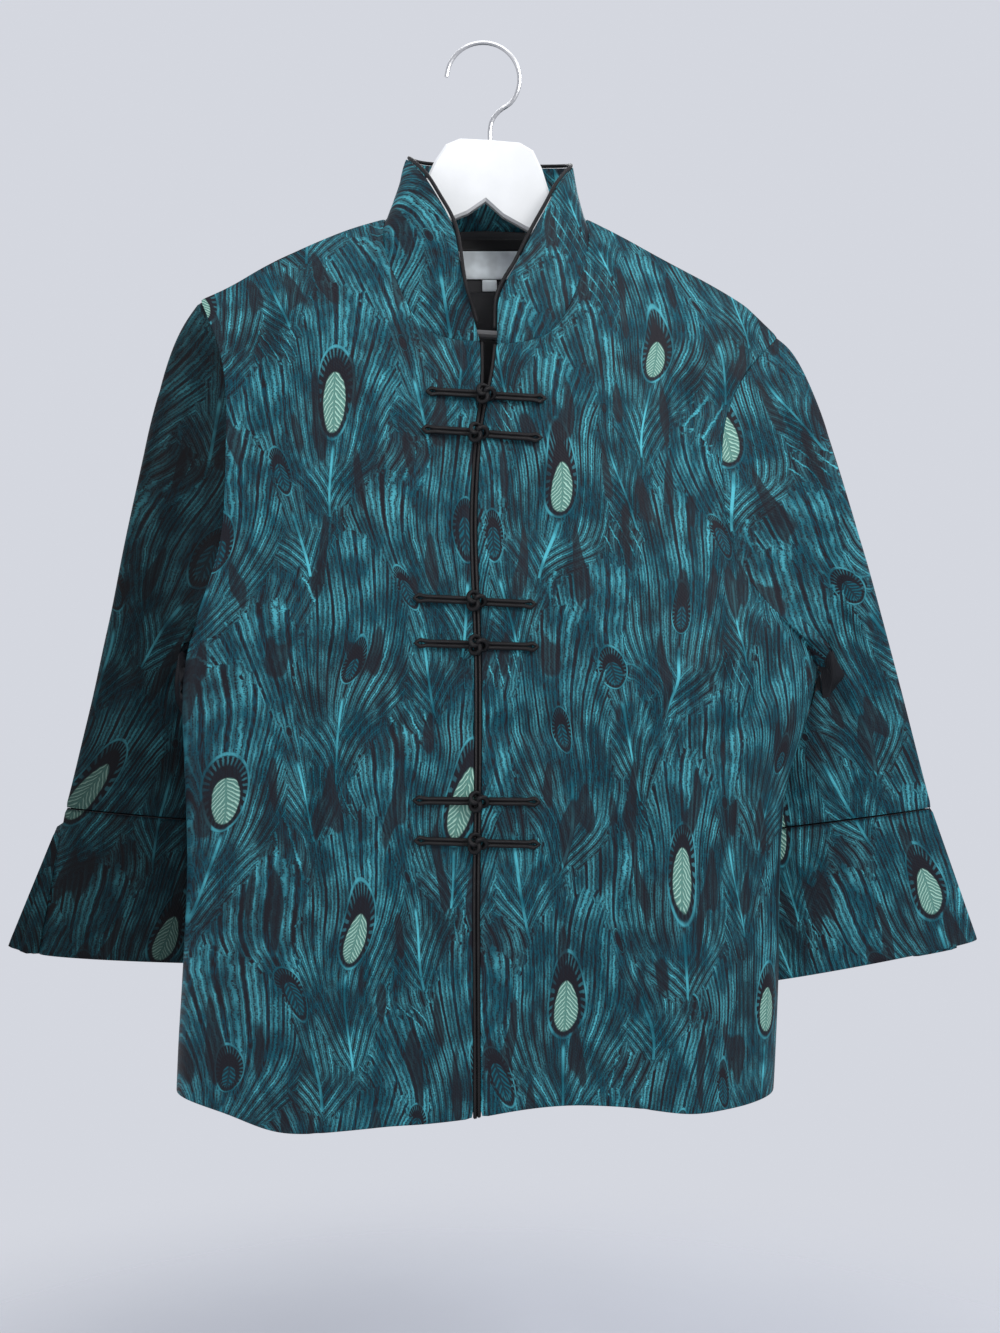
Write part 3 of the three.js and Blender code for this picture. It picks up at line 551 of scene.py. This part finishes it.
FLAT_SPARE = 1.05       # cut height for each unit of hanging height
FLAT_WASTE = 1.3        # the rectangle's area for each unit of the piece's
LEAST_FLAT = 0.0105


def flat_size(piece, node):
    """the flat rectangle that a piece is cut from, and its cut area, half of its two faces' area"""
    low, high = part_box(node)
    areas = np.empty(len(piece.data.polygons))
    piece.data.polygons.foreach_get("area", areas)
    area = float(areas.sum()) / 2
    tall = max((high[2] - low[2]) * FLAT_SPARE, LEAST_FLAT)
    return (area / tall * FLAT_WASTE, tall), area


def declare(piece, node):
    """works out the piece's flat size and cut area, and does nothing more with them"""
    flat, area = flat_size(piece, node)


# how far each seam's edges are drawn together, in metres
ARMHOLE_REACH = 0.0042
CUFF_REACH = 0.0016
PLEAT_REACH = 0.0085
COLLAR_REACH = 0.0030
GROOVE_REACH = 0.004
GROOVE_DEPTH = 0.0008

pieces = {}
BODY_PIECES = (("front_left", -1, (0, 0)), ("front_right", -1, (22, 60)), ("back", 1, (40, 90)))
for node, facing, pattern in BODY_PIECES:
    piece = smooth_copy(node, 2 if node == "back" else 3, node + "_cloth")
    crease(piece, BODY_CREASES, facing)
    turn = 1 if facing < 0 else -1
    lay_pattern(piece, (turn, 0.5, 0), (0, 0.2, 1), pattern)
    line_inside(piece, BROCADE, panel_outward(facing))
    stand_for(piece, node)
    declare(piece, node)
    pieces[node] = piece

for side, lean in (("left", 0.34), ("right", -0.36)):
    turn = 1 if side == "left" else -1
    # the left sleeve, cuff and pleats take the brocade copy with painted shade
    look = BROCADE_PAINTED_SHADE if side == "left" else BROCADE
    for node in ("sleeve_" + side, "cuff_" + side):
        piece = smooth_copy(node, 3, node + "_cloth")
        if node.startswith("sleeve"):
            crease(piece, SLEEVE_CREASES, -1)
            close_seam(piece, [pieces["front_" + side], pieces["back"]], ARMHOLE_REACH)
        else:
            close_seam(piece, [pieces["sleeve_" + side]], CUFF_REACH)
            groove(piece, pieces["sleeve_" + side], GROOVE_REACH, GROOVE_DEPTH)
        pieces[node] = piece
        across = (math.cos(lean), 0.6 * turn, -math.sin(lean))
        lay_pattern(piece, across, (math.sin(lean), 0.1, math.cos(lean)), (35 * turn, 55))
        line_inside(piece, look, tube_outward(node))
        stand_for(piece, node)
        declare(piece, node)
    for count in (1, 2):
        node = f"cuff_{side}_pleat_{count}"
        piece = smooth_copy(node, 2, node + "_cloth")
        close_seam(piece, [pieces["cuff_" + side]], PLEAT_REACH)
        lay_pattern(piece, (1, 0.5, 0), (0, 0, 1), (12 * count, 0))
        piece.data.materials.append(look)
        stand_for(piece, node)
        declare(piece, node)

collar = smooth_copy("collar", 3, "collar_cloth")
close_seam(collar, [pieces["front_left"], pieces["front_right"], pieces["back"]], COLLAR_REACH)
lay_pattern(collar, (0.8, 0.6, 0), (0, 0.3, 1), (60, 20))
collar.data.materials.append(BROCADE)
stand_for(collar, "collar")
declare(collar, "collar")

lining = smooth_copy("back_lining", 2, "back_lining_cloth")
lining.data.materials.append(LINING)
stand_for(lining, "back_lining")
declare(lining, "back_lining")
PATCHES = (("neck_facing", SATIN, "black_satin"), ("label", TAPE, "label"), ("size_tab", TAPE, "label"))
for node, look, slot in PATCHES:
    piece = smooth_copy(node, 2, node + "_cloth")
    piece.data.materials.append(look)
    stand_for(piece, node)
    declare(piece, node)

# ---- cords: piping and frogs, rounded ----
PIPING_GROWTH = 0.0004
FROG_GROWTH = 0.0005
REACH_KNOT = 0.0042        # how much further each frog arm comes in


def draw_up(piece, left):
    """stretches a frog arm towards its knot, its far end staying where it is"""
    points = coordinates(piece)
    x = points[:, 0]
    low, high = x.min(), x.max()
    share = (x - low) / (high - low) if left else (high - x) / (high - low)
    points[:, 0] += share * (REACH_KNOT if left else -REACH_KNOT)
    piece.data.vertices.foreach_set("co", points.ravel())
    piece.data.update()


# a knot in its own units, before it is scaled to the CAD button
KNOT_HOLE = 1.16        # its loops' middle radius, the loops' own radius being 1
KNOT_CORD = 0.56        # cord radius
KNOT_CORE = 1.05
KNOT_GROWTH = 1.36      # how much larger than the CAD button it is


def knot(node):
    """a button knot: one cord passing over and under itself in three loops, round a soft core"""
    low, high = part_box(node)
    middle = (Vector(low) + Vector(high)) / 2
    scale = (high[0] - low[0]) / 2 * KNOT_GROWTH / (KNOT_HOLE + 1 + KNOT_CORD)
    steps, sides = 96, 10

    def place(turn):
        reach = KNOT_HOLE + math.cos(1.5 * turn)
        return Vector((reach * math.cos(turn), -0.9 * math.sin(1.5 * turn), reach * math.sin(turn)))

    shape = bmesh.new()
    bmesh.ops.create_uvsphere(shape, u_segments=16, v_segments=10, radius=KNOT_CORE)
    rings = []
    for step in range(steps):
        turn = 4 * math.pi * step / steps
        here = place(turn)
        along = (place(turn + 0.01) - place(turn - 0.01)).normalized()
        out = along.cross(Vector((0, 1, 0))).normalized()
        up = out.cross(along)
        rings.append([shape.verts.new(here + (out * math.cos(a) + up * math.sin(a)) * KNOT_CORD)
                      for a in (2 * math.pi * k / sides for k in range(sides))])
    for step in range(steps):
        first, second = rings[step], rings[(step + 1) % steps]
        for k in range(sides):
            shape.faces.new((first[k], second[k], second[(k + 1) % sides], first[(k + 1) % sides]))
    for vertex in shape.verts:
        vertex.co = vertex.co * scale + middle
    bmesh.ops.recalc_face_normals(shape, faces=shape.faces)
    mesh = bpy.data.meshes.new(node + "_cord")
    shape.to_mesh(mesh)
    shape.free()
    for polygon in mesh.polygons:
        polygon.use_smooth = True
    piece = bpy.data.objects.new(node + "_cord", mesh)
    bpy.context.scene.collection.objects.link(piece)
    return piece

for node in sorted(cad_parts):
    if node.startswith("piping") or node.startswith("frog"):
        if node.endswith("_knot"):
            piece = knot(node)
        else:
            piece = smooth_copy(node, 2, node + "_cord")
            fatten(piece, PIPING_GROWTH if node.startswith("piping") else FROG_GROWTH)
            if node.startswith("frog"):
                draw_up(piece, node.endswith("left"))
        piece.data.materials.append(SATIN)
        stand_for(piece, node)

# ---- hanger ----
for node, look in (("hanger_body", WOOD), ("hanger_hook", STEEL), ("hanger_bar", BAR_PAINTED_SHADE)):
    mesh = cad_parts[node].data
    mesh.materials.clear()
    mesh.materials.append(look)

# ---- floor and studio light ----
FLOOR_DROP = 0.38       # below the hem
FLOOR_RADIUS = 1.1


def faded_floor(name, colour, solid, rim):
    """a pale floor that thins out towards its rim, from the solid radius to the rim's"""
    made, tree, shader = material(name, 0.9)
    coords = tree.nodes.new("ShaderNodeTexCoord")
    spots = noise(tree, coords.outputs["Object"], 3.0, 4.0)
    worn = tuple(c * 0.95 for c in colour)
    tree.links.new(mix_colour(tree, spots.step(0.3, 0.75), worn, colour), shader.inputs["Base Color"])
    length = tree.nodes.new("ShaderNodeVectorMath")
    length.operation = "LENGTH"
    tree.links.new(coords.outputs["Object"], length.inputs[0])
    cover = Field(tree, length.outputs["Value"]).step(rim, solid)
    tree.links.new(cover.socket, shader.inputs["Alpha"])
    return made


bpy.ops.mesh.primitive_circle_add(vertices=128, radius=FLOOR_RADIUS, fill_type="NGON",
                                  location=(0, 0, cad_box[0][2] - FLOOR_DROP))
floor = bpy.context.object
floor.name = "floor"
floor.data.materials.append(faded_floor("floor_pale", (0.50, 0.515, 0.56), 0.45, 1.02))

world = bpy.data.worlds.new("world")
world.use_nodes = True
world.node_tree.nodes["Background"].inputs[0].default_value = (0.66, 0.68, 0.74, 1)
world.node_tree.nodes["Background"].inputs[1].default_value = 1.0
bpy.context.scene.world = world


def light(name, place, size, power):
    """a square lamp aimed at the jacket's middle"""
    data = bpy.data.lights.new(name, "AREA")
    data.size = size
    data.energy = power
    lamp = bpy.data.objects.new(name, data)
    lamp.location = place
    lamp.rotation_euler = (Vector((0, 0, -0.5)) - Vector(place)).to_track_quat("-Z", "Y").to_euler()
    bpy.context.scene.collection.objects.link(lamp)


bpy.context.scene.view_settings.view_transform = "Standard"
light("key", (1.3, -1.8, 0.9), 0.9, 34)
light("top", (0.1, -0.9, 1.3), 1.2, 12)
light("fill", (-1.6, -1.5, -0.3), 1.6, 3)
light("rear", (0.2, 2.0, 0.5), 1.6, 22)
